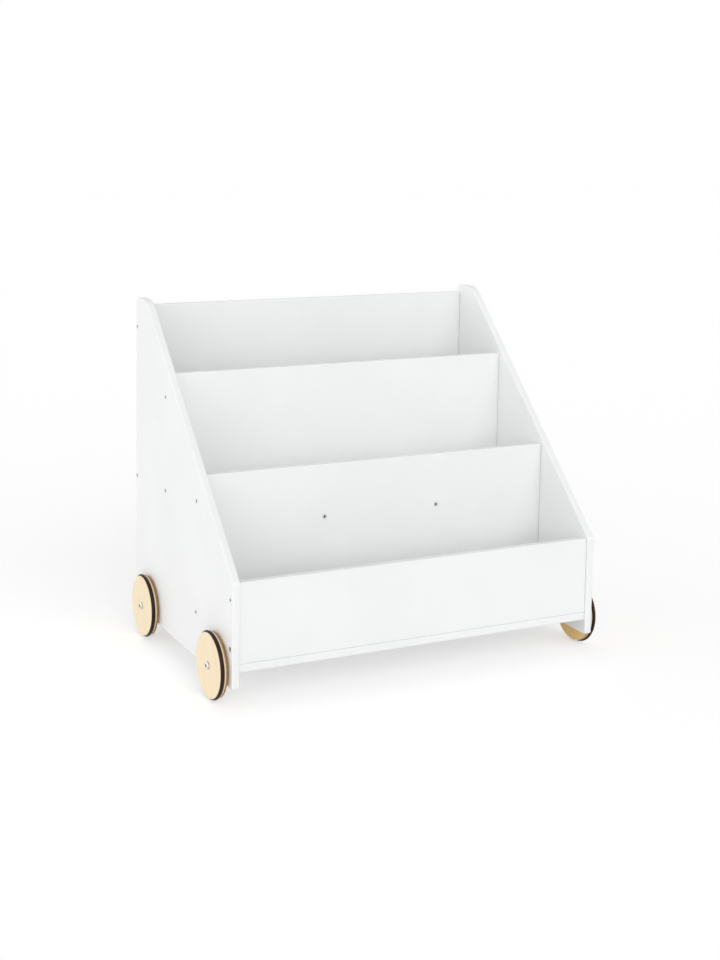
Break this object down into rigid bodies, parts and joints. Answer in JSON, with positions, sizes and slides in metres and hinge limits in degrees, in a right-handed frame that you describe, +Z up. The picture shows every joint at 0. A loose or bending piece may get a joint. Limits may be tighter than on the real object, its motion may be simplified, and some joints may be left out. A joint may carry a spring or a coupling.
{
  "type": "rolling bookcase",
  "caption": "Low white children's bookcase: stepped book pockets between slanted side panels, an open shelf at the back, and plywood wheels with rubber rings.",
  "frame": {"origin": "on the floor, under the middle of the case's outer box", "axes": "+X across the width to the right as seen from the front, -Y the front with the low front board, +Z up"},
  "size_m": [0.6564, 0.425, 0.5485],
  "materials": {
    "white_lacquer": "satin white lacquer on fibreboard",
    "birch_plywood": "clear satin lacquer",
    "dark_rubber": "satin",
    "zinc_steel": "zinc plated",
    "natural_nylon": "matte"
  },
  "bodies": {
    "case": {"left_side_panel": "white_lacquer", "right_side_panel": "white_lacquer", "bottom_board": "white_lacquer", "front_board": "white_lacquer", "middle_divider": "white_lacquer", "upper_divider": "white_lacquer", "back_panel": "white_lacquer", "shelf_floor": "white_lacquer", "panel_screw_left_front_high": "zinc_steel", "panel_screw_left_front_low": "zinc_steel", "panel_screw_left_middle_high": "zinc_steel", "panel_screw_left_middle_low": "zinc_steel", "panel_screw_left_upper_high": "zinc_steel", "panel_screw_left_upper_low": "zinc_steel", "panel_screw_left_back_high": "zinc_steel", "panel_screw_left_back_low": "zinc_steel", "panel_screw_right_front_high": "zinc_steel", "panel_screw_right_front_low": "zinc_steel", "panel_screw_right_middle_high": "zinc_steel", "panel_screw_right_middle_low": "zinc_steel", "panel_screw_right_upper_high": "zinc_steel", "panel_screw_right_upper_low": "zinc_steel", "panel_screw_right_back_high": "zinc_steel", "panel_screw_right_back_low": "zinc_steel", "base_screw_front_left": "zinc_steel", "base_screw_front_right": "zinc_steel", "base_screw_middle_left": "zinc_steel", "base_screw_middle_right": "zinc_steel", "shelf_screw_front_left": "zinc_steel", "shelf_screw_front_right": "zinc_steel", "shelf_screw_rear_left": "zinc_steel", "shelf_screw_rear_right": "zinc_steel", "axle_bolt_front_left": "zinc_steel", "axle_bolt_rear_left": "zinc_steel", "axle_bolt_front_right": "zinc_steel", "axle_bolt_rear_right": "zinc_steel", "axle_sleeve_front_left": "zinc_steel", "axle_sleeve_rear_left": "zinc_steel", "axle_sleeve_front_right": "zinc_steel", "axle_sleeve_rear_right": "zinc_steel", "spacer_washer_front_left": "natural_nylon", "spacer_washer_rear_left": "natural_nylon", "spacer_washer_front_right": "natural_nylon", "spacer_washer_rear_right": "natural_nylon", "insert_nut_front_left": "zinc_steel", "insert_nut_rear_left": "zinc_steel", "insert_nut_front_right": "zinc_steel", "insert_nut_rear_right": "zinc_steel"},
    "wheel_front_left": {"wheel_disc_front_left": "birch_plywood", "tyre_front_left": "dark_rubber"},
    "wheel_rear_left": {"wheel_disc_rear_left": "birch_plywood", "tyre_rear_left": "dark_rubber"},
    "wheel_front_right": {"wheel_disc_front_right": "birch_plywood", "tyre_front_right": "dark_rubber"},
    "wheel_rear_right": {"wheel_disc_rear_right": "birch_plywood", "tyre_rear_right": "dark_rubber"}
  },
  "joints": [
    {"name": "wheel_front_left_spin", "type": "hinge", "parent": "case", "child": "wheel_front_left", "pos_m": [-0.319, -0.156, 0.0505], "axis": [1, 0, 0], "continuous": true},
    {"name": "wheel_rear_left_spin", "type": "hinge", "parent": "case", "child": "wheel_rear_left", "pos_m": [-0.319, 0.1405, 0.0505], "axis": [1, 0, 0], "continuous": true},
    {"name": "wheel_front_right_spin", "type": "hinge", "parent": "case", "child": "wheel_front_right", "pos_m": [0.319, -0.156, 0.0505], "axis": [1, 0, 0], "continuous": true},
    {"name": "wheel_rear_right_spin", "type": "hinge", "parent": "case", "child": "wheel_rear_right", "pos_m": [0.319, 0.1405, 0.0505], "axis": [1, 0, 0], "continuous": true}
  ]
}
